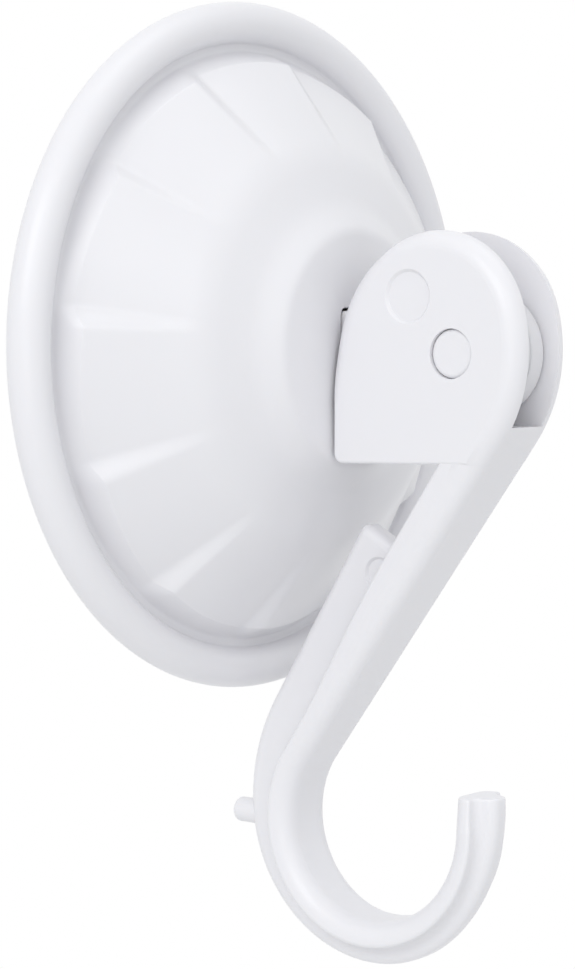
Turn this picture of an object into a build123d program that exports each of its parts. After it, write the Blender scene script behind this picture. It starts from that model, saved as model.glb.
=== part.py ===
"""Suction cup hook with a lock lever.

Frame, in mm: the wall is the plane y = 0, the hook stands out towards -Y, +Z is up and the
origin is the centre of the sealing face. The lever is modelled locked, hanging down.
Heights written "high" are distances from the wall, so a point at height h has y = -h.
"""
import os
from math import cos, radians, sin

from build123d import *

# Dish cover: hub, low level of the cone, groove and rolled rim
DISH_WALL = 2.0
HUB_RADIUS = 13.8
HUB_HIGH = 19.2
HUB_EDGE_ROUND = 2.0
HUB_FLARE = 3.6
HUB_FOOT_ROUND = 3.0
SHOULDER_TOP_HIGH = 17.3
SHOULDER_RUN = 6.2
SHOULDER_HIGH = 15.05
SHOULDER_ROUND = 4.0
CONE_RUN = 11.2
CONE_FOOT_HIGH = 5.0
CONE_FOOT_ROUND = 0.6
GROOVE_HIGH = 3.4
GROOVE_FLARE = 1.2
GROOVE_RUN = 5.0
GROOVE_ROUND = 0.9
GROOVE_WALL = 1.5
BEAD_RADIUS = 2.5
BEAD_CENTRE_HIGH = 3.0
RIM_WALL = 1.6

# Saw-tooth ramps on the cone: a steep face, then a long fall to the next ramp
RAMP_COUNT = 12
RAMP_FIRST_ANGLE = 24.0
RAMP_RISE = 1.35
RAMP_INSET = 0.3
RAMP_FACE_WIDTH = 2.8
RAMP_FACE_END_WIDTH = 0.9
RAMP_SINK = 1.0
RAMP_FADE = 0.12
RAMP_FACE_STEPS = 6
RAMP_FALL_STEPS = 8
RAMP_FALL_REACH = 1.05

# Stem and its slot through the hub
STEM_THICK = 5.9
STEM_HALF_HEIGHT = 5.0
STEM_EDGE_ROUND = 0.6
STEM_ROOT = 1.0
HUB_SLOT_GAP = 0.35

# Suction cup
LIP_RIM_GAP = 0.5
LIP_EDGE_THICK = 0.9
LIP_THICK = 1.5
LIP_KNEE_BEYOND_CONE = 0.6
SEAL_INNER_RADIUS = 22.0
CHAMBER_RADIUS = 13.0
CHAMBER_HIGH = 2.6
CUP_BOSS_RADIUS = 11.5
CUP_BOSS_HIGH = 10.5
CUP_SKIRT_RADIUS = 24.0
CUP_SKIRT_HIGH = 4.6

# Hinge
PIN_HIGH = 36.5
PIN_LEVEL = -0.6
PIN_RADIUS = 2.85
PIN_END_RECESS = 0.25
PIN_END_ROUND = 0.5
PIN_HOLE_GAP = 0.05
EYE_RADIUS = 7.4

# Lever head: two cam cheeks
HEAD_WIDTH = 11.0
HEAD_EDGE_ROUND = 2.2
HEAD_BACK_ROUND = 0.4
CAM_REACH = 16.9
CAM_FLAT_ABOVE_PIN = 1.84
CAM_FLAT_BELOW_PIN = 13.1
BROW_CORNER = 10.8
BROW_RADIUS = 15.8
BROW_TURN = 51.2
CROWN_RADIUS = 12.06
CROWN_TURN = 102.5
FRONT_RADIUS = 18.6
LEVER_LEAN = 35.7
HEAD_HEEL_ROUND = 1.2
HEAD_SOLE_TILT = 1.2
SLOT_WIDTH = 6.3
SLOT_FLOOR_BELOW_PIN = 8.4
CHEEK_MARK_RADIUS = 3.2
CHEEK_MARK_DEPTH = 0.35
CHEEK_MARK_BEHIND_PIN = 6.1
CHEEK_MARK_ABOVE_PIN = 6.6

# Shank and hook: a flange in front with a web behind it
SHANK_LENGTH = 49.0
HOOK_REAR_RADIUS = 11.4
HOOK_FRONT_RADIUS = 12.7
TIP_RISE = 3.9
FLANGE_WIDTHS = (11.0, 9.2, 8.7, 7.7, 6.7)
FLANGE_THICKS = (3.6, 3.0, 2.9, 2.6, 2.3)
FLANGE_FRONT_ROUNDS = (2.2, 2.3, 2.3, 2.0, 1.8)
FLANGE_BACK_ROUNDS = (0.5, 0.5, 0.5, 0.4, 0.3)
TIP_ROUND = 0.3
WEB_THICK = 3.4
WEB_EDGE_ROUND = 1.3
WEB_ROOT_ROUND = 1.2
WEB_INSET = 1.0
WEB_TOP_BEHIND_PIN = 15.5
WEB_TOP_BELOW_PIN = 20.1
WEB_TOP_TILT = 30.0
WEB_TOP_ROUND = 1.2
WEB_LEAN = 31.6
WEB_SHORTER_THAN_SHANK = 22.3
WEB_BEND_RADIUS = 24.3
WEB_REAR_RADIUS = 18.3
WEB_CORNER_RADIUS = 17.0
WEB_CORNER_TURN = 45.0
TIP_DEPTH = 4.65
WEB_MARK_RADIUS = 2.0
WEB_MARK_DEPTH = 0.3
WEB_MARK_BEHIND_PIN = 13.0
WEB_MARK_BELOW_PIN = 26.3

# Nub that stops the lever against the wall
NUB_LEVEL = -58.2
NUB_RADIUS = 1.55
NUB_WALL_GAP = 0.45
NUB_END_ROUND = 0.7
NUB_ROOT = 6.0


def closed_face(plane, *corners):
    """A face from (x, y, rounding radius) corners on the given plane."""
    points = [(x, y) for x, y, _ in corners]
    radii = [radius for _, _, radius in corners]
    return make_face(plane * FilletPolyline(*points, radius=radii, close=True))


def revolved(profile):
    """One solid from a (radius, height) profile turned about the wall normal."""
    upright = Plane((0, 0, 0), x_dir=(1, 0, 0), z_dir=(0, 0, -1))
    return revolve(upright * profile, Axis.Y)


def meeting(start, way, other, other_way):
    """Point where the line from start along way crosses another line."""
    share = (other - start).cross(other_way).Z / way.cross(other_way).Z
    return start + way * share


def shoulder():
    """Outer end of the shoulder, where the cone begins, as (radius, height)."""
    return Vector(HUB_RADIUS + HUB_FLARE + SHOULDER_RUN, SHOULDER_HIGH)


def cone_foot():
    """Foot of the low cone line, as (radius, height)."""
    return Vector(shoulder().X + CONE_RUN, CONE_FOOT_HIGH)


def cone_high(radius):
    """Height of the low cone line at a radius."""
    way = cone_foot() - shoulder()
    return CONE_FOOT_HIGH + (radius - cone_foot().X) * way.Y / way.X


def bead_centre():
    """Centre of the rim's bead, as (radius, height)."""
    return Vector(cone_foot().X + GROOVE_RUN, BEAD_CENTRE_HIGH)


def rim_inside():
    """Radius of the rim's inner wall, round the cup's lip."""
    return bead_centre().X + BEAD_RADIUS - RIM_WALL


def dish_shell():
    """The cover's plain turned form, without ramps."""
    top, foot, bead = shoulder(), cone_foot(), bead_centre()
    way = (foot - top).normalized()
    inward = Vector(way.Y, -way.X) * DISH_WALL
    under = GROOVE_HIGH - GROOVE_WALL
    inner_foot = meeting(foot + inward, way, Vector(0, under), Vector(1, 0))
    flare = HUB_RADIUS + HUB_FLARE
    body = closed_face(
        Plane.XY,
        (0, HUB_HIGH, 0),
        (HUB_RADIUS, HUB_HIGH, HUB_EDGE_ROUND),
        (flare, SHOULDER_TOP_HIGH, HUB_FOOT_ROUND),
        (top.X, top.Y, SHOULDER_ROUND),
        (foot.X, foot.Y, CONE_FOOT_ROUND),
        (foot.X + GROOVE_FLARE, GROOVE_HIGH, GROOVE_ROUND),
        (bead.X, GROOVE_HIGH, 0),
        (bead.X, under, 0),
        (inner_foot.X, under, 1.0),
        (top.X + inward.X, top.Y + inward.Y, 3.0),
        (flare, SHOULDER_TOP_HIGH - DISH_WALL, 2.0),
        (HUB_RADIUS, HUB_HIGH - DISH_WALL, 0),
        (0, HUB_HIGH - DISH_WALL, 0),
    )
    roll = Pos(bead.X, bead.Y) * Circle(BEAD_RADIUS)
    cavity = Pos(rim_inside() / 2, under / 2) * Rectangle(rim_inside(), under)
    profile = body + roll - cavity
    joint = profile.vertices().sort_by_distance(Vector(bead.X - BEAD_RADIUS, GROOVE_HIGH))[0]
    profile = fillet(joint, GROOVE_ROUND)
    return revolved(profile)


def ramp_section(foot_angle, top_angle, rise):
    """Upright face across one ramp, from the cone's foot to the ramp's upper end."""
    outer = cone_foot().X - RAMP_INSET
    inner = shoulder().X
    outline = (
        (outer, foot_angle, cone_high(outer) + rise),
        (inner, top_angle, cone_high(inner) - RAMP_FADE),
        (inner, top_angle, cone_high(inner) - RAMP_SINK),
        (outer, foot_angle, cone_high(outer) - RAMP_SINK),
    )
    points = [
        (radius * cos(radians(angle)), -height, radius * sin(radians(angle)))
        for radius, angle, height in outline
    ]
    return make_face(Polyline(*points, close=True))


def ramp():
    """One ramp: a steep face with a rounded top and foot, then a long fall to the next ramp."""
    pitch = 360 / RAMP_COUNT
    half_face = RAMP_FACE_WIDTH / 2 / radians(1) / cone_foot().X
    half_end = RAMP_FACE_END_WIDTH / 2 / radians(1) / shoulder().X
    sections = [ramp_section(-half_face, -half_end, -RAMP_FADE)]
    for step in range(1, RAMP_FACE_STEPS + 1):
        side = 2 * step / RAMP_FACE_STEPS - 1
        rise = RAMP_RISE * (1 + sin(radians(90 * side))) / 2
        sections.append(ramp_section(side * half_face, side * half_end, rise))
    for step in range(1, RAMP_FALL_STEPS + 1):
        share = RAMP_FALL_REACH * step / RAMP_FALL_STEPS
        foot_angle = half_face + share * (pitch - 2 * half_face)
        top_angle = half_end + share * (pitch - 2 * half_end)
        rise = RAMP_RISE * (1 - share) - RAMP_FADE * share
        sections.append(ramp_section(foot_angle, top_angle, rise))
    return loft(sections, ruled=True)


def hub_slot():
    """Rounded slot through the hub that keys the stem."""
    width = STEM_THICK + 2 * HUB_SLOT_GAP
    height = 2 * (STEM_HALF_HEIGHT + HUB_SLOT_GAP)
    outline = Pos(0, PIN_LEVEL) * RectangleRounded(width, height, STEM_EDGE_ROUND + HUB_SLOT_GAP)
    return extrude(Plane.XZ * outline, HUB_HIGH + DISH_WALL)


def dish_cover():
    """Rigid cover: turned shell, ramps round its cone and the slot for the stem."""
    one = ramp()
    pitch = 360 / RAMP_COUNT
    ramps = [Rot(0, -(RAMP_FIRST_ANGLE + i * pitch), 0) * one for i in range(RAMP_COUNT)]
    return (dish_shell() + ramps) - hub_slot()


def pin_axis():
    """Location on the pin's axis, looking along +X."""
    return Plane((0, -PIN_HIGH, PIN_LEVEL), x_dir=(0, 1, 0), z_dir=(1, 0, 0))


def cup_body():
    """Turned part of the cup: sealing lip, membrane and the boss under the stem."""
    edge = rim_inside() - LIP_RIM_GAP
    body = closed_face(
        Plane.XY,
        (0, CHAMBER_HIGH, 0),
        (CHAMBER_RADIUS, CHAMBER_HIGH, 8),
        (SEAL_INNER_RADIUS, 0, 1.0),
        (edge, 0, 0),
        (edge, LIP_EDGE_THICK, 0.4),
        (cone_foot().X + LIP_KNEE_BEYOND_CONE, LIP_THICK, 4.0),
        (CUP_SKIRT_RADIUS, CUP_SKIRT_HIGH, 4.0),
        (CUP_BOSS_RADIUS, CUP_BOSS_HIGH, 2.0),
        (0, CUP_BOSS_HIGH, 0),
    )
    return revolved(body)


def suction_cup():
    """Soft cup in one with its flat stem and the eye for the pin."""
    length = PIN_HIGH - CUP_BOSS_HIGH + STEM_ROOT
    stem = Pos(0, -PIN_HIGH + length / 2, PIN_LEVEL) * Box(STEM_THICK, length, 2 * STEM_HALF_HEIGHT)
    stem = fillet(stem.edges().filter_by(Axis.Y), STEM_EDGE_ROUND)
    eye = extrude(pin_axis() * Circle(EYE_RADIUS), STEM_THICK / 2, both=True)
    eye = fillet(eye.edges(), STEM_EDGE_ROUND)
    bore = Cylinder(PIN_RADIUS + PIN_HOLE_GAP, 2 * STEM_THICK)
    return cup_body() + stem + eye - pin_axis() * bore


def hinge_pin():
    """Plain pin with rounded ends just below the cheeks' faces."""
    pin = Cylinder(PIN_RADIUS, HEAD_WIDTH - 2 * PIN_END_RECESS)
    return pin_axis() * fillet(pin.edges(), PIN_END_ROUND)


def lever_path():
    """Front of the lever, from the cam's flat round the head, down the shank, round to the tip."""
    back = -PIN_HIGH + CAM_REACH
    flat = Line((back, PIN_LEVEL - CAM_FLAT_BELOW_PIN), (back, PIN_LEVEL + CAM_FLAT_ABOVE_PIN))
    brow_way = Vector(-sin(radians(BROW_CORNER)), cos(radians(BROW_CORNER)))
    brow = JernArc(flat @ 1, brow_way, BROW_RADIUS, BROW_TURN)
    crown = JernArc(brow @ 1, brow % 1, CROWN_RADIUS, CROWN_TURN)
    front_turn = 180 + LEVER_LEAN - BROW_CORNER - BROW_TURN - CROWN_TURN
    front = JernArc(crown @ 1, crown % 1, FRONT_RADIUS, front_turn)
    shank = PolarLine(front @ 1, SHANK_LENGTH, direction=front % 1)
    rear = JernArc(shank @ 1, shank % 1, HOOK_REAR_RADIUS, -(90 + LEVER_LEAN))
    rise = JernArc(rear @ 1, rear % 1, HOOK_FRONT_RADIUS, -90)
    tip = PolarLine(rise @ 1, TIP_RISE, direction=rise % 1)
    return flat, brow, crown, front, shank, rear, rise, tip


def side_rounded(outline, radius, *chain):
    """Block as wide as the head, with the edges along a chain of curves rounded on both sides."""
    block = extrude(Plane.YZ * outline, HEAD_WIDTH / 2, both=True)
    rims = block.faces().filter_by(Axis.X).edges()
    spots = [Plane.YZ * Vertex(*(curve @ 0.5)) for curve in chain]
    edges = []
    for spot in spots:
        edges += rims.sort_by_distance(spot)[:2]
    return fillet(edges, radius)


def head():
    """Block of the lever's head, with both cheeks still joined."""
    flat, brow, crown, front = lever_path()[:4]
    spare = CAM_FLAT_BELOW_PIN + CAM_FLAT_ABOVE_PIN
    behind = PolarLine(flat @ 1, 2 * spare, direction=(brow % 0) * -1)
    neck = PolarLine(front @ 1, spare, direction=front % 1)
    dome = make_face([behind, brow, crown, front, neck, Line(neck @ 1, behind @ 1)])
    heel = flat @ 0
    sole_way = Vector(-cos(radians(HEAD_SOLE_TILT)), sin(radians(HEAD_SOLE_TILT)))
    sole = PolarLine(heel, PIN_HIGH, direction=sole_way)
    wall = PolarLine(heel, PIN_HIGH, direction=(0, 1))
    corner = Polyline(sole @ 1, ((sole @ 1).X, (wall @ 1).Y), wall @ 1)
    limits = make_face([sole, wall, corner])
    limits = fillet(limits.vertices().sort_by_distance(heel)[0], HEAD_HEEL_ROUND)
    soft = side_rounded(dome, HEAD_EDGE_ROUND, brow, crown, front)
    return soft & side_rounded(limits, HEAD_BACK_ROUND, sole, wall)


def flange_section(at, towards, width, thick, front_round, back_round):
    """Cross-section of the flange, its front face on the path."""
    plane = Plane(at, x_dir=(1, 0, 0), z_dir=towards)
    corners = (
        (width / 2, 0, front_round),
        (width / 2, -thick, back_round),
        (-width / 2, -thick, back_round),
        (-width / 2, 0, front_round),
    )
    return closed_face(plane, *corners)


def flange():
    """Front plate of shank and hook, narrowing and thinning towards the tip."""
    parts = [Plane.YZ * edge for edge in lever_path()[4:]]
    sizes = list(zip(FLANGE_WIDTHS, FLANGE_THICKS, FLANGE_FRONT_ROUNDS, FLANGE_BACK_ROUNDS))
    plate = Part()
    for path, start, end in zip(parts, sizes, sizes[1:]):
        sections = [
            flange_section(path @ 0, path % 0, *start),
            flange_section(path @ 1, path % 1, *end),
        ]
        plate += sweep(sections, path=path, multisection=True)
    return plate


def web():
    """Plate behind the flange, rounded along its rear edge."""
    shank, _, _, tip = lever_path()[4:]
    back = Vector(-(shank % 0).Y, (shank % 0).X)
    top = Vector(-PIN_HIGH + WEB_TOP_BEHIND_PIN, PIN_LEVEL - WEB_TOP_BELOW_PIN)
    down = (sin(radians(WEB_LEAN)), -cos(radians(WEB_LEAN)))
    rear = PolarLine(top, SHANK_LENGTH - WEB_SHORTER_THAN_SHANK, direction=down)
    bend = JernArc(rear @ 1, rear % 1, WEB_BEND_RADIUS, -WEB_LEAN)
    bottom = JernArc(bend @ 1, bend % 1, WEB_REAR_RADIUS, -90)
    corner = JernArc(bottom @ 1, bottom % 1, WEB_CORNER_RADIUS, -WEB_CORNER_TURN)
    tip_back = tip @ 1 - Vector(TIP_DEPTH, 0)
    rise = TangentArc(corner @ 1, tip_back, tangent=corner % 1)
    inner = Line(shank @ 0 + back * WEB_INSET, shank @ 1 + back * WEB_INSET)
    inner_rear = JernArc(inner @ 1, inner % 1, HOOK_REAR_RADIUS + WEB_INSET, -(90 + LEVER_LEAN))
    inner_rise = JernArc(inner_rear @ 1, inner_rear % 1, HOOK_FRONT_RADIUS + WEB_INSET, -90)
    inner_tip = Line(inner_rise @ 1, tip @ 1 - Vector(WEB_INSET, 0))
    top_way = Vector(-cos(radians(WEB_TOP_TILT)), -sin(radians(WEB_TOP_TILT)))
    top_end = meeting(top, top_way, inner @ 0, inner % 0)
    edges = [
        rear, bend, bottom, corner, rise, Line(tip_back, inner_tip @ 1), inner_tip, inner_rise,
        inner_rear, Line(top_end, inner @ 1), Line(top, top_end),
    ]
    outline = make_face(edges)
    outline = fillet(outline.vertices().sort_by_distance(top)[0], WEB_TOP_ROUND)
    plate = extrude(Plane.YZ * outline, WEB_THICK / 2, both=True)
    rims = []
    for edge in (rear, bend, bottom, corner, rise):
        middle = Plane.YZ * Vertex(*(edge @ 0.5))
        rims += plate.edges().filter_by(lambda e: abs(e.center().X) > 1).sort_by_distance(middle)[:2]
    return fillet(rims, WEB_EDGE_ROUND)


def lever_slot():
    """Space between the cheeks for the stem and its eye."""
    floor = PIN_LEVEL - SLOT_FLOOR_BELOW_PIN
    return Pos(0, -PIN_HIGH, floor + PIN_HIGH / 2) * Box(SLOT_WIDTH, 2 * PIN_HIGH, PIN_HIGH)


def mould_mark(side, behind_pin, above_pin, radius, depth):
    """Shallow round mark with a sloped edge, sunk into a face that looks to -X."""
    spot = Plane(
        (side, -PIN_HIGH + behind_pin, PIN_LEVEL + above_pin), x_dir=(0, 1, 0), z_dir=(-1, 0, 0)
    )
    return extrude(spot * Circle(radius), -depth, taper=45)


def lever_marks():
    """Round mould marks on one cheek and on the web below it."""
    cheek = mould_mark(
        -HEAD_WIDTH / 2,
        CHEEK_MARK_BEHIND_PIN,
        CHEEK_MARK_ABOVE_PIN,
        CHEEK_MARK_RADIUS,
        CHEEK_MARK_DEPTH,
    )
    web_mark = mould_mark(
        -WEB_THICK / 2,
        WEB_MARK_BEHIND_PIN,
        -WEB_MARK_BELOW_PIN,
        WEB_MARK_RADIUS,
        WEB_MARK_DEPTH,
    )
    return cheek + web_mark


def nub():
    """Round stop on the back of the hook."""
    stub = Cylinder(NUB_RADIUS, NUB_ROOT)
    stub = fillet(stub.edges().sort_by(Axis.Z)[-1], NUB_END_ROUND)
    middle = (0, -NUB_WALL_GAP - NUB_ROOT / 2, NUB_LEVEL)
    return Plane(middle, z_dir=(0, 1, 0)) * stub


def hook_lever():
    """Lever in one moulding: cam cheeks, shank, hook and nub."""
    front = flange()
    plate = web()
    body = front + plate
    body = fillet(new_edges(front, plate, combined=body), WEB_ROOT_ROUND)
    tip = body.faces().filter_by(Axis.Z).sort_by(Axis.Z)[-1]
    body = fillet(tip.edges(), TIP_ROUND)
    body = body + head() + nub()
    body = body - lever_slot() - lever_marks()
    bore = pin_axis() * Cylinder(PIN_RADIUS + PIN_HOLE_GAP, 2 * HEAD_WIDTH)
    return body - bore


PIECES = {
    "dish_cover": dish_cover,
    "suction_cup": suction_cup,
    "hinge_pin": hinge_pin,
    "hook_lever": hook_lever,
}


def main():
    """Build every piece and write one STEP file for each."""
    os.makedirs("parts", exist_ok=True)
    for name, build in PIECES.items():
        export_step(build(), f"parts/{name}.step")


if __name__ == "__main__":
    main()
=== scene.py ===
import logging
import math
from dataclasses import dataclass, field
from enum import Enum

import bmesh
import bpy
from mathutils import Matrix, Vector


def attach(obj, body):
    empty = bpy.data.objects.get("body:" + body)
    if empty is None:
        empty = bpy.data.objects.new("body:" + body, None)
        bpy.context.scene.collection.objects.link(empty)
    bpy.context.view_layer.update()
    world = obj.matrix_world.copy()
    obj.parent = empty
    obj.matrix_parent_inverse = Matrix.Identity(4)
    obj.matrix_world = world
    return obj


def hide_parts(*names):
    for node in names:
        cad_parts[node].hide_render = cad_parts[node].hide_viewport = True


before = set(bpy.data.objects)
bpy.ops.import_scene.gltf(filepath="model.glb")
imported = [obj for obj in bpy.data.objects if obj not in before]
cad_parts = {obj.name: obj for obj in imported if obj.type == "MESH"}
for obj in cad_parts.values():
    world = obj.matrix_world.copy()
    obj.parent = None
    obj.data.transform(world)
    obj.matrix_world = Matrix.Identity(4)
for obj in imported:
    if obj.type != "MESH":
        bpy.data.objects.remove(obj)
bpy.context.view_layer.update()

LOG = logging.getLogger("suction_cup_hook")
MM = 0.001

Point = tuple[float, float, float]
Colour = tuple[float, float, float]
Corner = tuple[float, float, float]
Ring = list[Point]

WHITE: Colour = (0.80, 0.795, 0.82)
PALE: Colour = (0.76, 0.755, 0.775)

SIDE, OUT, UP = Vector((1, 0, 0)), Vector((0, -1, 0)), Vector((0, 0, 1))
HOOK_MIDDLE: Point = (0.0, -0.02, -0.01)


class Gloss(Enum):
    """Lowest roughness of a moulded skin."""

    HARD = 0.26
    SOFT = 0.36


@dataclass(frozen=True)
class MouldedFinish:
    """A glossy moulded plastic with a slightly uneven skin.

    Args:
        name: name of the material.
        colour: base colour, linear.
        gloss: how glossy the skin is.
        dulling: how much rougher its dull patches are.
        ripple: strength of the slow waves in the skin.
        grain: strength of the fine grain in the skin.
        subsurface: share of light that goes below the skin.
        spread: how far red, green and blue light go, next to each other.
        light_depth: how far light goes below the skin, in millimetres.
        ior: index of refraction.
    """

    name: str
    colour: Colour
    gloss: Gloss = Gloss.HARD
    dulling: float = 0.1
    ripple: float = 0.12
    grain: float = 0.2
    subsurface: float = 0.12
    spread: Colour = (1.0, 0.9, 0.8)
    light_depth: float = 1.2
    ior: float = 1.5

    def build(self, skin: bpy.types.ShaderNodeTree) -> bpy.types.Material:
        """Make the material.

        Args:
            skin: node group that gives the skin's tint, roughness and normal.

        Returns:
            The finished material.
        """
        material = bpy.data.materials.new(self.name)
        material.use_nodes = True
        nodes, links = material.node_tree.nodes, material.node_tree.links
        shader = nodes["Principled BSDF"]
        shader.inputs["IOR"].default_value = self.ior
        shader.inputs["Subsurface Weight"].default_value = self.subsurface
        shader.inputs["Subsurface Radius"].default_value = self.spread
        shader.inputs["Subsurface Scale"].default_value = self.light_depth * MM
        place = nodes.new("ShaderNodeTexCoord")
        group = nodes.new("ShaderNodeGroup")
        group.node_tree = skin
        group.inputs["Colour"].default_value = (*self.colour, 1)
        group.inputs["Roughness"].default_value = self.gloss.value
        group.inputs["Dulling"].default_value = self.dulling
        group.inputs["Ripple"].default_value = self.ripple
        group.inputs["Grain"].default_value = self.grain
        links.new(place.outputs["Object"], group.inputs["Place"])
        links.new(group.outputs["Colour"], shader.inputs["Base Color"])
        links.new(group.outputs["Roughness"], shader.inputs["Roughness"])
        links.new(group.outputs["Normal"], shader.inputs["Normal"])
        return material


@dataclass(frozen=True)
class SkinGroup:
    """Shader node group for the skin of moulded plastic.

    Args:
        wave_scale: noise scale of the slow waves.
        wave_detail: noise detail of the slow waves.
        wave_height: height of the waves, in millimetres.
        grain_scale: noise scale of the fine grain.
        grain_height: height of the grain, in millimetres.
        patch_scale: noise scale of the tint and of the dull patches.
        patch_range: noise values between which the tint changes.
        tint_range: tint at those two values.
    """

    wave_scale: float = 55.0
    wave_detail: float = 1.0
    wave_height: float = 0.12
    grain_scale: float = 1500.0
    grain_height: float = 0.004
    patch_scale: float = 28.0
    patch_range: tuple[float, float] = (0.3, 0.7)
    tint_range: tuple[float, float] = (0.985, 1.0)

    def build(self) -> bpy.types.ShaderNodeTree:
        """Make the group.

        Returns:
            A node group with Colour, Roughness and Normal outputs.
        """
        tree = bpy.data.node_groups.new("moulded_skin", "ShaderNodeTree")
        self._add_sockets(tree)
        links = tree.links
        given = tree.nodes.new("NodeGroupInput")
        result = tree.nodes.new("NodeGroupOutput")
        patch = self._noise(tree, given, self.patch_scale)
        waves = self._noise(tree, given, self.wave_scale, self.wave_detail)
        grain = self._noise(tree, given, self.grain_scale)
        links.new(self._tint(tree, given, patch), result.inputs["Colour"])
        links.new(self._roughness(tree, given, patch), result.inputs["Roughness"])
        slow = self._bump(tree, waves, given.outputs["Ripple"], self.wave_height)
        fine = self._bump(tree, grain, given.outputs["Grain"], self.grain_height)
        links.new(slow.outputs["Normal"], fine.inputs["Normal"])
        links.new(fine.outputs["Normal"], result.inputs["Normal"])
        return tree

    @staticmethod
    def _add_sockets(tree: bpy.types.ShaderNodeTree) -> None:
        """Give the group its inputs and outputs.

        Args:
            tree: the group.
        """
        sockets = tree.interface
        sockets.new_socket("Place", in_out="INPUT", socket_type="NodeSocketVector")
        sockets.new_socket("Colour", in_out="INPUT", socket_type="NodeSocketColor")
        for name in ("Roughness", "Dulling", "Ripple", "Grain"):
            sockets.new_socket(name, in_out="INPUT", socket_type="NodeSocketFloat")
        sockets.new_socket("Colour", in_out="OUTPUT", socket_type="NodeSocketColor")
        sockets.new_socket("Roughness", in_out="OUTPUT", socket_type="NodeSocketFloat")
        sockets.new_socket("Normal", in_out="OUTPUT", socket_type="NodeSocketVector")

    def _tint(
        self, tree: bpy.types.ShaderNodeTree, given: bpy.types.Node, patch: bpy.types.Node
    ) -> bpy.types.NodeSocket:
        """Vary the colour a little from patch to patch.

        Args:
            tree: the group.
            given: its input node.
            patch: noise of the patches.

        Returns:
            The varied colour.
        """
        shade = tree.nodes.new("ShaderNodeMapRange")
        shade.inputs["From Min"].default_value = self.patch_range[0]
        shade.inputs["From Max"].default_value = self.patch_range[1]
        shade.inputs["To Min"].default_value = self.tint_range[0]
        shade.inputs["To Max"].default_value = self.tint_range[1]
        tint = tree.nodes.new("ShaderNodeVectorMath")
        tint.operation = "SCALE"
        tree.links.new(patch.outputs["Fac"], shade.inputs["Value"])
        tree.links.new(given.outputs["Colour"], tint.inputs[0])
        tree.links.new(shade.outputs["Result"], tint.inputs["Scale"])
        return tint.outputs["Vector"]

    @staticmethod
    def _roughness(
        tree: bpy.types.ShaderNodeTree, given: bpy.types.Node, patch: bpy.types.Node
    ) -> bpy.types.NodeSocket:
        """Make the skin rougher in its dull patches.

        Args:
            tree: the group.
            given: its input node.
            patch: noise of the patches.

        Returns:
            The roughness.
        """
        rough = tree.nodes.new("ShaderNodeMath")
        rough.operation = "MULTIPLY_ADD"
        tree.links.new(patch.outputs["Fac"], rough.inputs[0])
        tree.links.new(given.outputs["Dulling"], rough.inputs[1])
        tree.links.new(given.outputs["Roughness"], rough.inputs[2])
        return rough.outputs["Value"]

    @staticmethod
    def _noise(
        tree: bpy.types.ShaderNodeTree, given: bpy.types.Node, scale: float, detail: float = 0.0
    ) -> bpy.types.Node:
        """Add a noise texture on the group's place input.

        Args:
            tree: the group.
            given: its input node.
            scale: the noise's scale.
            detail: the noise's detail.

        Returns:
            The noise node.
        """
        noise = tree.nodes.new("ShaderNodeTexNoise")
        noise.inputs["Scale"].default_value = scale
        noise.inputs["Detail"].default_value = detail
        tree.links.new(given.outputs["Place"], noise.inputs["Vector"])
        return noise

    @staticmethod
    def _bump(
        tree: bpy.types.ShaderNodeTree,
        noise: bpy.types.Node,
        strength: bpy.types.NodeSocket,
        height: float,
    ) -> bpy.types.Node:
        """Add a bump node.

        Args:
            tree: the group.
            noise: noise that gives the bumps.
            strength: their strength.
            height: their height, in millimetres.

        Returns:
            The bump node.
        """
        bump = tree.nodes.new("ShaderNodeBump")
        bump.inputs["Distance"].default_value = height * MM
        tree.links.new(noise.outputs["Fac"], bump.inputs["Height"])
        tree.links.new(strength, bump.inputs["Strength"])
        return bump


@dataclass(frozen=True)
class Lamp:
    """A square soft light.

    Args:
        name: name of the lamp.
        place: where it hangs, in metres.
        power: its power in watts.
        size: length of its sides.
        aim: point that it faces.
    """

    name: str
    place: Point
    power: float
    size: float = 0.6
    aim: Point = HOOK_MIDDLE

    def build(self) -> bpy.types.Object:
        """Make the lamp.

        Returns:
            The lamp's object.
        """
        data = bpy.data.lights.new(self.name, "AREA")
        data.shape = "SQUARE"
        data.size = self.size
        data.energy = self.power
        lamp = bpy.data.objects.new(self.name, data)
        lamp.location = self.place
        direction = Vector(self.aim) - Vector(self.place)
        lamp.rotation_euler = direction.to_track_quat("-Z", "Y").to_euler()
        bpy.context.scene.collection.objects.link(lamp)
        return lamp


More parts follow.
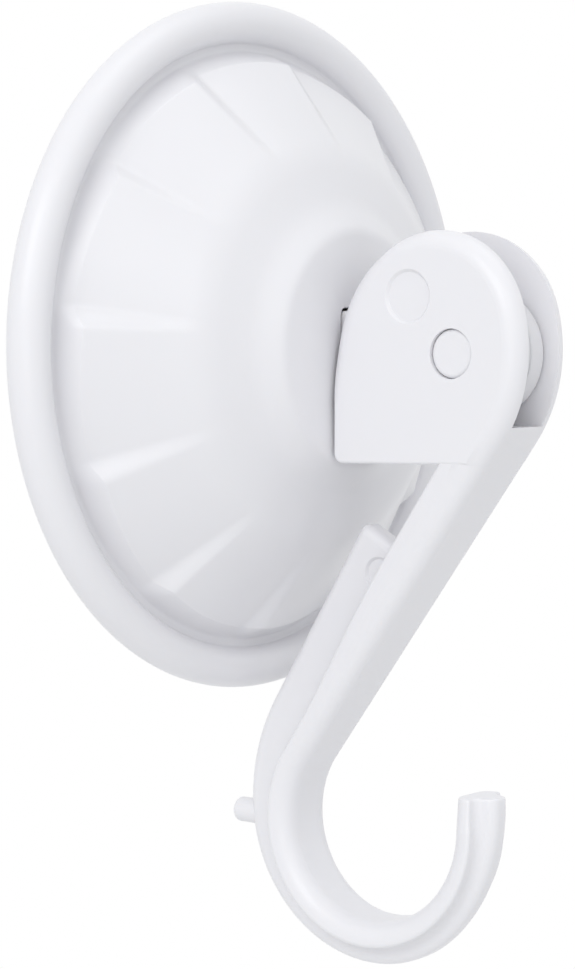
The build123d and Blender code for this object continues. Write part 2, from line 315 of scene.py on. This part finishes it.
@dataclass(frozen=True)
class Studio:
    """White studio: a floor far below the hook, a pale world and soft lamps.

    Args:
        floor_level: height of the floor.
        floor_size: length of its sides.
        floor_colour: its colour where it takes and throws back light.
        floor_roughness: its roughness.
        world_level: strength of the world's light.
        world_colour: colour of the world's light.
        lamps: the lamps.
    """

    floor_level: float = -0.2
    floor_size: float = 12.0
    floor_colour: Colour = (0.8, 0.8, 0.8)
    floor_roughness: float = 0.9
    world_level: float = 0.81
    world_colour: Colour = (0.97, 0.985, 1.0)
    lamps: tuple[Lamp, ...] = (
        Lamp("key_lamp", (-0.9, -0.2, 0.5), power=2.5),
        Lamp("top_lamp", (0.1, -0.25, 0.95), power=0.9),
        Lamp("front_lamp", (-0.6, -0.7, 0.5), power=0.95),
        Lamp("low_lamp", (-0.8, -0.5, -0.1), power=0.5, size=0.4),
    )

    def build(self) -> None:
        """Make the floor, the world and the lamps."""
        bpy.context.scene.view_settings.view_transform = "Standard"
        self._floor()
        self._world()
        for lamp in self.lamps:
            lamp.build()
        LOG.info("studio: floor, world and %d lamps", len(self.lamps))

    def _floor(self) -> None:
        """Make the floor, which is white to camera and glossy rays and a diffuse floor to other
        light.
        """
        bpy.ops.mesh.primitive_plane_add(size=self.floor_size, location=(0, 0, self.floor_level))
        floor = bpy.context.object
        floor.name = "studio_floor"
        material = bpy.data.materials.new("floor_white")
        material.use_nodes = True
        nodes, links = material.node_tree.nodes, material.node_tree.links
        base = nodes["Principled BSDF"]
        base.inputs["Base Color"].default_value = (*self.floor_colour, 1)
        base.inputs["Roughness"].default_value = self.floor_roughness
        glow = nodes.new("ShaderNodeEmission")
        mix = nodes.new("ShaderNodeMixShader")
        links.new(self._seen(nodes, links), mix.inputs["Fac"])
        links.new(base.outputs["BSDF"], mix.inputs[1])
        links.new(glow.outputs["Emission"], mix.inputs[2])
        links.new(mix.outputs["Shader"], nodes["Material Output"].inputs["Surface"])
        floor.data.materials.append(material)

    def _world(self) -> None:
        """Make the world: white to the camera, softer as a light."""
        world = bpy.data.worlds.new("studio_world")
        world.use_nodes = True
        bpy.context.scene.world = world
        nodes, links = world.node_tree.nodes, world.node_tree.links
        light = nodes["Background"]
        light.inputs["Color"].default_value = (*self.world_colour, 1)
        light.inputs["Strength"].default_value = self.world_level
        white = nodes.new("ShaderNodeBackground")
        white.inputs["Color"].default_value = (1, 1, 1, 1)
        mix = nodes.new("ShaderNodeMixShader")
        links.new(self._seen(nodes, links), mix.inputs["Fac"])
        links.new(light.outputs["Background"], mix.inputs[1])
        links.new(white.outputs["Background"], mix.inputs[2])
        links.new(mix.outputs["Shader"], nodes["World Output"].inputs["Surface"])

    @staticmethod
    def _seen(nodes: bpy.types.Nodes, links: bpy.types.NodeLinks) -> bpy.types.NodeSocket:
        """Make a mask that is 1 for camera, glossy and transmission rays.

        Args:
            nodes: nodes of the material or world that uses the mask.
            links: its links.

        Returns:
            The mask.
        """
        path = nodes.new("ShaderNodeLightPath")
        mask = path.outputs["Is Camera Ray"]
        for ray in ("Is Glossy Ray", "Is Transmission Ray"):
            either = nodes.new("ShaderNodeMath")
            either.operation = "MAXIMUM"
            links.new(mask, either.inputs[0])
            links.new(path.outputs[ray], either.inputs[1])
            mask = either.outputs["Value"]
        return mask


@dataclass(frozen=True)
class PhotoCamera:
    """Camera at the photograph's viewing angle.

    Args:
        azimuth: degrees round the object, 0 looking along +Y.
        elevation: degrees above the horizon.
        target: point that the camera faces.
        distance: from the target to the camera.
        lens: focal length in millimetres.
        sensor: width of the sensor in millimetres.
        nearest: distance at which the camera begins to see.
    """

    azimuth: float = -51.31
    elevation: float = 3.53
    target: Point = (-0.01466, -0.02, -0.01576)
    distance: float = 0.28983
    lens: float = 92.88
    sensor: float = 36.0
    nearest: float = 0.01

    def build(self) -> bpy.types.Object:
        """Make the camera.

        Returns:
            The camera's object.
        """
        turn, rise = math.radians(self.azimuth), math.radians(self.elevation)
        level = math.cos(rise)
        back = Vector((math.sin(turn) * level, -math.cos(turn) * level, math.sin(rise)))
        data = bpy.data.cameras.new("photo_camera")
        data.lens = self.lens
        data.sensor_width = self.sensor
        data.clip_start = self.nearest
        camera = bpy.data.objects.new("photo_camera", data)
        camera.location = Vector(self.target) + back * self.distance
        camera.rotation_euler = (-back).to_track_quat("-Z", "Y").to_euler()
        bpy.context.scene.collection.objects.link(camera)
        bpy.context.scene.camera = camera
        return camera


def linked(mesh: bpy.types.Mesh) -> bpy.types.Object:
    """Put a mesh in the scene.

    Args:
        mesh: the mesh, whose name the object takes.

    Returns:
        The new object.
    """
    piece = bpy.data.objects.new(mesh.name, mesh)
    bpy.context.scene.collection.objects.link(piece)
    return piece


def copied_solid(node: str, name: str) -> tuple[bpy.types.Mesh, bmesh.types.BMesh]:
    """Copy a CAD node's mesh so that it can be edited.

    Args:
        node: name of the CAD node.
        name: name of the copy.

    Returns:
        The copy, and the same shape open for editing.
    """
    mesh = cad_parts[node].data.copy()
    mesh.name = name
    shape = bmesh.new()
    shape.from_mesh(mesh)
    return mesh, shape


def smooth_step(value: float, start: float, end: float) -> float:
    """Rise smoothly from 0 to 1.

    Args:
        value: place on the rise.
        start: place up to which it is 0.
        end: place from which it is 1.

    Returns:
        The height of the rise.
    """
    share = min(1.0, max(0.0, (value - start) / (end - start)))
    return share * share * (3 - 2 * share)


def divided(start: Vector, end: Vector, step: float) -> list[Vector]:
    """Divide a straight line.

    Args:
        start: start of the line, which is left out.
        end: end of the line.
        step: longest distance between two points.

    Returns:
        Points after the start and up to the end.
    """
    parts = max(1, math.ceil((end - start).length / step))
    return [start.lerp(end, part / parts) for part in range(1, parts + 1)]


def rounded_path(profile: tuple[Corner, ...], step: float, arc_step: float = 7.0) -> list[Vector]:
    """Round a profile's corners and divide it.

    Args:
        profile: (radius, height, rounding) of each corner, in millimetres.
        step: longest distance between two points on a straight run.
        arc_step: degrees between two points on a rounded corner.

    Returns:
        Points along the profile as (radius, height).
    """
    points = [Vector(profile[0][:2])]
    for before, corner, after in zip(profile, profile[1:], profile[2:]):
        here, rounding = Vector(corner[:2]), corner[2]
        back = (Vector(before[:2]) - here).normalized()
        ahead = (Vector(after[:2]) - here).normalized()
        half = back.angle(ahead) / 2
        reach = rounding / math.tan(half)
        middle = here + (back + ahead).normalized() * rounding / math.sin(half)
        start, end = here + back * reach - middle, here + ahead * reach - middle
        first = math.atan2(start.y, start.x)
        sweep = (math.atan2(end.y, end.x) - first + math.pi) % (2 * math.pi) - math.pi
        parts = max(2, math.ceil(abs(math.degrees(sweep)) / arc_step))
        angles = [first + sweep * part / parts for part in range(parts + 1)]
        arc = [middle + rounding * Vector((math.cos(a), math.sin(a))) for a in angles]
        points += divided(points[-1], arc[0], step) + arc[1:]
    return points + divided(points[-1], Vector(profile[-1][:2]), step)


def arc_points(
    centre: Vector, radius: float, first: float, last: float, step: float = 4.0
) -> list[Vector]:
    """Place points round an arc in a plane across the lever.

    Args:
        centre: the arc's centre.
        radius: its radius.
        first: angle of its start in degrees, 0 away from the wall and 90 upwards.
        last: angle of its end in degrees.
        step: degrees between two points.

    Returns:
        Points from the start to the end.
    """
    parts = math.ceil(abs(last - first) / step)
    angles = [math.radians(first + (last - first) * part / parts) for part in range(parts + 1)]
    return [centre + radius * (math.cos(a) * OUT + math.sin(a) * UP) for a in angles]


def add_bead(
    shape: bmesh.types.BMesh, path: list[Vector], radius: float, closed: bool, sides: int = 10
) -> None:
    """Sweep a thin round bead along a path that lies in a plane across the lever.

    Args:
        shape: mesh that gets the bead.
        path: points of its middle line.
        radius: the bead's radius.
        closed: whether the path's end joins its start.
        sides: number of points round the bead.
    """
    turns = [2 * math.pi * side / sides for side in range(sides)]
    rings = []
    for index, point in enumerate(path):
        ahead = path[(index + 1) % len(path)] if closed or index + 1 < len(path) else point
        back = path[index - 1] if closed or index else point
        across = (ahead - back).normalized().cross(SIDE)
        spots = [point + radius * (math.cos(t) * across + math.sin(t) * SIDE) for t in turns]
        rings.append([shape.verts.new(spot) for spot in spots])
    following = rings[1:] + rings[:1] if closed else rings[1:]
    for here, there in zip(rings, following):
        for side in range(sides):
            face = shape.faces.new((here[side], here[side - 1], there[side - 1], there[side]))
            face.smooth = True


@dataclass(frozen=True)
class DishCover:
    """The round cover: hub, cone with soft saw-tooth ramps, valley and rolled rim.

    Sizes are in millimetres. Slot, bead and underside follow the CAD solid. The ramps are softer
    and higher, the valley is deeper and the hub is rounder, as the photograph shows them. A corner
    is its radius, height and rounding.

    Args:
        spokes: number of points round the cover.
        ramps: number of ramps.
        first_ramp: degrees from +X to the middle of the first ramp's face.
        rise: height of a ramp at the cone's foot.
        face_width: width of a ramp's steep face at the cone's foot.
        face_end_width: its width at the shoulder.
        hub_top: where the slot's surround ends on the hub's flat top.
        hub_edge: edge of the hub's top.
        hub_foot: foot of the hub.
        shoulder: where the cone begins.
        cone_foot: where the cone ends.
        valley: inner side of the valley's floor.
        valley_edge: outer side of the valley's floor.
        bead_start: where the rim's bead comes out of the valley.
        bead_centre: centre of the bead's section.
        bead_radius: radius of the bead's section.
        bead_turns: degrees round the bead's section, from the valley over the top.
        underside: corners from the rim's lower edge to the slot.
        slot: half width, half height, corner and level of the stem's slot.
        slot_edge: how far below the top and how much wider the rings of its rounded edge are.
        outside_step: longest distance between two rings outside.
        underside_step: longest distance between two rings underneath.
        crease: degrees from which an edge is shown sharp.
    """

    spokes: int = 720
    ramps: int = 12
    first_ramp: float = 24.0
    rise: float = 1.6
    face_width: float = 3.0
    face_end_width: float = 1.5
    hub_top: Corner = (12.4, 19.2, 0.0)
    hub_edge: Corner = (14.2, 19.2, 2.6)
    hub_foot: Corner = (17.3, 17.2, 7.0)
    shoulder: Corner = (23.6, 15.05, 9.0)
    cone_foot: Corner = (34.8, 5.0, 0.9)
    valley: Corner = (36.2, 3.2, 1.0)
    valley_edge: Corner = (37.3, 3.0, 0.3)
    bead_start: Corner = (37.5, 3.6, 0.0)
    bead_centre: tuple[float, float] = (39.8, 3.0)
    bead_radius: float = 2.5
    bead_turns: range = range(164, -69, -8)
    underside: tuple[Corner, ...] = (
        (40.7, 0.668, 0.0),
        (40.7, 1.9, 0.3),
        (35.3, 1.9, 0.5),
        (22.3, 13.56, 3.0),
        (17.4, 15.3, 2.0),
        (13.8, 17.2, 1.0),
        (12.4, 17.2, 0.0),
    )
    slot: tuple[float, float, float, float] = (3.3, 5.35, 0.95, -0.6)
    slot_edge: tuple[tuple[float, float], ...] = ((0.4, 0.0), (0.1, 0.1), (0.0, 0.4))
    outside_step: float = 0.45
    underside_step: float = 1.5
    crease: float = 40.0

    def build(self) -> bpy.types.Object:
        """Make the cover.

        Returns:
            The cover's object.
        """
        rings = self._outside() + self._rim() + self._underside()
        count = self.spokes
        verts = [(x * MM, y * MM, z * MM) for ring in rings for x, y, z in ring]
        faces = []
        for ring in range(len(rings)):
            here, there = ring * count, (ring + 1) % len(rings) * count
            for spoke in range(count):
                beside = (spoke + 1) % count
                faces.append((here + spoke, there + spoke, there + beside, here + beside))
        mesh = bpy.data.meshes.new("cover_shell")
        mesh.from_pydata(verts, [], faces)
        mesh.validate()
        mesh.polygons.foreach_set("use_smooth", [True] * len(mesh.polygons))
        mesh.set_sharp_from_angle(angle=math.radians(self.crease))
        return linked(mesh)

    def _turns(self) -> list[tuple[float, float]]:
        """Work out the spokes' directions.

        Returns:
            Cosine and sine of each spoke's angle.
        """
        angles = [2 * math.pi * spoke / self.spokes for spoke in range(self.spokes)]
        return [(math.cos(angle), math.sin(angle)) for angle in angles]

    def _circle(self, radius: float, high: float) -> Ring:
        """Make a plain ring.

        Args:
            radius: the ring's radius.
            high: its height above the wall.

        Returns:
            The ring's points.
        """
        return [(radius * c, -high, radius * s) for c, s in self._turns()]

    def _slot_ring(self, high: float, wider: float = 0.0) -> Ring:
        """Make a ring along the edge of the stem's slot.

        Args:
            high: the ring's height above the wall.
            wider: margin by which it goes round the slot.

        Returns:
            The ring's points.
        """
        half_width, half_height, corner, level = self.slot
        half_width, half_height, corner = half_width + wider, half_height + wider, corner + wider
        tiny = 1e-9
        ring = []
        for c, s in self._turns():
            reach = min(half_width / max(abs(c), tiny), half_height / max(abs(s), tiny))
            edge = Vector((c * reach, s * reach))
            core_x = max(corner - half_width, min(half_width - corner, edge.x))
            core_y = max(corner - half_height, min(half_height - corner, edge.y))
            core = Vector((core_x, core_y))
            way = (edge - core).normalized() * corner
            ring.append((core.x + way.x, -high, core.y + way.y + level))
        return ring

    def _lift(self, radius: float, angle: float) -> float:
        """Work out how far a ramp stands above the low cone.

        Args:
            radius: distance from the cover's middle.
            angle: angle round the cover, in radians.

        Returns:
            The ramp's height there.
        """
        start, end, valley = self.shoulder[0], self.cone_foot[0], self.valley[0]
        reach = (radius - start) / (end - start)
        if reach <= 0:
            return 0.0
        pitch = 2 * math.pi / self.ramps
        width = self.face_end_width + (self.face_width - self.face_end_width) * min(reach, 1.0)
        face = width / radius
        local = (angle - math.radians(self.first_ramp) + face / 2) % pitch
        if local < face:
            height = smooth_step(local, 0.0, face)
        else:
            height = 1 - (local - face) / (pitch - face)
        fade = min(1.0, max(0.0, (valley - radius) / (valley - end)))
        return self.rise * min(reach, 1.0) * height * fade

    def _outside(self) -> list[Ring]:
        """Make the outside up to the rim.

        Returns:
            Rings of the slot's edge, the hub, the shoulder, the cone and the valley.
        """
        profile = rounded_path(
            (
                self.hub_top,
                self.hub_edge,
                self.hub_foot,
                self.shoulder,
                self.cone_foot,
                self.valley,
                self.valley_edge,
                self.bead_start,
            ),
            self.outside_step,
        )
        rings = [self._slot_ring(self.hub_top[1] - low, wider) for low, wider in self.slot_edge]
        for point in profile:
            ring = []
            for spoke, (c, s) in enumerate(self._turns()):
                lift = self._lift(point.x, 2 * math.pi * spoke / self.spokes)
                ring.append((point.x * c, -point.y - lift, point.x * s))
            rings.append(ring)
        return rings

    def _rim(self) -> list[Ring]:
        """Make the rolled rim.

        Returns:
            Rings from its inner side over the top to its lower edge.
        """
        rings = []
        for degrees in self.bead_turns:
            turn = math.radians(degrees)
            way = Vector((math.cos(turn), math.sin(turn)))
            point = Vector(self.bead_centre) + self.bead_radius * way
            rings.append(self._circle(point.x, point.y))
        return rings

    def _underside(self) -> list[Ring]:
        """Make the underside.

        Returns:
            Rings from the rim's lower edge to the slot's inner end.
        """
        profile = rounded_path(self.underside, self.underside_step)
        inner_end = self._slot_ring(self.underside[-1][1])
        return [self._circle(point.x, point.y) for point in profile] + [inner_end]


@dataclass(frozen=True)
class SoftCup:
    """The soft cup with its parting line and the lips of its eye, in millimetres.

    Args:
        pin: (y, z) of the pin.
        eye_radius: radius of the eye.
        stem_half_height: half the height of the stem.
        stem_half_thick: half its thickness.
        stem_start: height above the wall at which the parting line begins.
        parting: radius of the parting line's bead.
        lip_reach: radius of the lip round each mouth of the bore.
        lip: radius of the lip's bead.
        lip_sunk: how far the middle of the lip lies below the stem's side.
    """

    pin: tuple[float, float] = (-36.5, -0.6)
    eye_radius: float = 7.4
    stem_half_height: float = 5.0
    stem_half_thick: float = 2.95
    stem_start: float = 17.4
    parting: float = 0.2
    lip_reach: float = 3.3
    lip: float = 0.25
    lip_sunk: float = 0.15

    def build(self) -> bpy.types.Object:
        """Make the cup from the CAD one.

        Returns:
            The cup's object.
        """
        mesh, shape = copied_solid("suction_cup", "soft_cup")
        pin = Vector((0, *self.pin)) * MM
        self._add_parting_line(shape, pin)
        for way in (-1, 1):
            mouth = pin + SIDE * way * (self.stem_half_thick - self.lip_sunk) * MM
            lip = arc_points(mouth, self.lip_reach * MM, 0, 360)[:-1]
            add_bead(shape, lip, self.lip * MM, closed=True)
        shape.to_mesh(mesh)
        shape.free()
        return linked(mesh)

    def _add_parting_line(self, shape: bmesh.types.BMesh, pin: Vector) -> None:
        """Add the parting line over the stem and round the eye.

        Args:
            shape: the cup's shape.
            pin: middle of the eye.
        """
        turn = math.degrees(math.asin(self.stem_half_height / self.eye_radius))
        middle = (self.eye_radius - self.parting / 2) * MM
        eye = arc_points(pin, middle, -180 + turn, 180 - turn)
        start = OUT * self.stem_start * MM
        path = [start + UP * eye[0].z, *eye, start + UP * eye[-1].z]
        add_bead(shape, path, self.parting * MM, closed=False)


@dataclass(frozen=True)
class Lever:
    """The lever, with its flange swelling towards the head as the photograph shows.

    Sizes are in millimetres. A pair is where the swelling starts to change and where that ends.

    Args:
        neck: (y, z) of the top of the shank's front line.
        sole: height of the cheeks' underside at the flange.
        lean: degrees that the shank leans to the wall.
        swell: how much thicker the flange's sides are at the neck.
        ledge: distances below the sole, where the swelling begins.
        fade: distances down the shank, where it ends.
        front: distances behind the shank's front, where it begins.
        rear: distances behind the shank's front, where it ends.
        beside: distances from the lever's middle plane, where it begins.
        stations: distances down the shank at which the copy gets new edges.
    """

    neck: tuple[float, float] = (-42.17, -11.02)
    sole: float = -13.1
    lean: float = 35.7
    swell: float = 1.25
    ledge: tuple[float, float] = (0.02, 0.12)
    fade: tuple[float, float] = (20.0, 47.0)
    front: tuple[float, float] = (0.8, 3.0)
    rear: tuple[float, float] = (4.6, 6.0)
    beside: tuple[float, float] = (2.5, 3.5)
    stations: range = range(4, 48, 2)

    def build(self) -> bpy.types.Object:
        """Make the lever from the CAD one.

        Returns:
            The lever's object.
        """
        mesh, shape = copied_solid("hook_lever", "lever_moulding")
        lean = math.radians(self.lean)
        down = Vector((0, math.sin(lean), -math.cos(lean)))
        behind = Vector((0, math.cos(lean), math.sin(lean)))
        start = Vector((0, *self.neck)) * MM
        self._add_edges(shape, start, down)
        push = Vector((0, self.swell / math.cos(lean), 0)) * MM
        for vertex in shape.verts:
            offset = vertex.co - start
            along, depth = offset.dot(down) / MM, offset.dot(behind) / MM
            below = self.sole - vertex.co.z / MM
            vertex.co += push * self._share(along, depth, below, abs(vertex.co.x) / MM)
        shape.to_mesh(mesh)
        shape.free()
        return linked(mesh)

    def _add_edges(self, shape: bmesh.types.BMesh, start: Vector, down: Vector) -> None:
        """Cut new edges down the shank and below the sole, for the swelling to bend at.

        Args:
            shape: the lever's shape.
            start: top of the shank's front line.
            down: direction down the shank.
        """
        cuts = [(start + down * station * MM, down) for station in self.stations]
        cuts += [(Vector((0, 0, (self.sole - low) * MM)), UP) for low in self.ledge]
        for spot, normal in cuts:
            parts = [*shape.verts, *shape.edges, *shape.faces]
            bmesh.ops.bisect_plane(shape, geom=parts, plane_co=spot, plane_no=normal)

    def _share(self, along: float, depth: float, below: float, beside: float) -> float:
        """Work out how much of the swelling a place gets.

        Args:
            along: distance down the shank.
            depth: distance behind the shank's front.
            below: distance below the sole.
            beside: distance from the lever's middle plane.

        Returns:
            The share, 0 to 1.
        """
        lengthways = smooth_step(below, *self.ledge) * (1 - smooth_step(along, *self.fade))
        through = smooth_step(depth, *self.front) * (1 - smooth_step(depth, *self.rear))
        return lengthways * through * smooth_step(beside, *self.beside)


@dataclass
class Hook:
    """The four moulded pieces and their finishes.

    Args:
        finishes: finish of each CAD node.
    """

    finishes: dict[str, MouldedFinish] = field(
        default_factory=lambda: {
            "dish_cover": MouldedFinish("cover_plastic_gloss", WHITE),
            "hook_lever": MouldedFinish("lever_plastic_gloss", WHITE),
            "hinge_pin": MouldedFinish("pin_plastic_gloss", WHITE),
            "suction_cup": MouldedFinish("cup_soft_plastic", PALE, Gloss.SOFT, subsurface=0.25),
        }
    )

    def build(self) -> None:
        """Put the detailed pieces in place of the CAD nodes and finish all four."""
        shown = {
            "dish_cover": (DishCover().build(), "cover", "cover_plastic"),
            "suction_cup": (SoftCup().build(), "cup", "soft_plastic"),
            "hook_lever": (Lever().build(), "lever", "lever_plastic"),
        }
        for node, (piece, body, slot) in shown.items():
            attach(piece, body)
            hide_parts(node)
        skin = SkinGroup().build()
        for node, finish in self.finishes.items():
            piece = shown[node][0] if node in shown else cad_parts[node]
            material = finish.build(skin)
            piece.data.materials.clear()
            piece.data.materials.append(material)
            LOG.info("%s: %s in %s", node, piece.name, material.name)


def main() -> None:
    """Build the hook's pieces, the studio and the camera."""
    logging.basicConfig(level=logging.INFO, format="%(name)s: %(message)s")
    Hook().build()
    Studio().build()
    PhotoCamera().build()


if __name__ == "__main__":
    main()
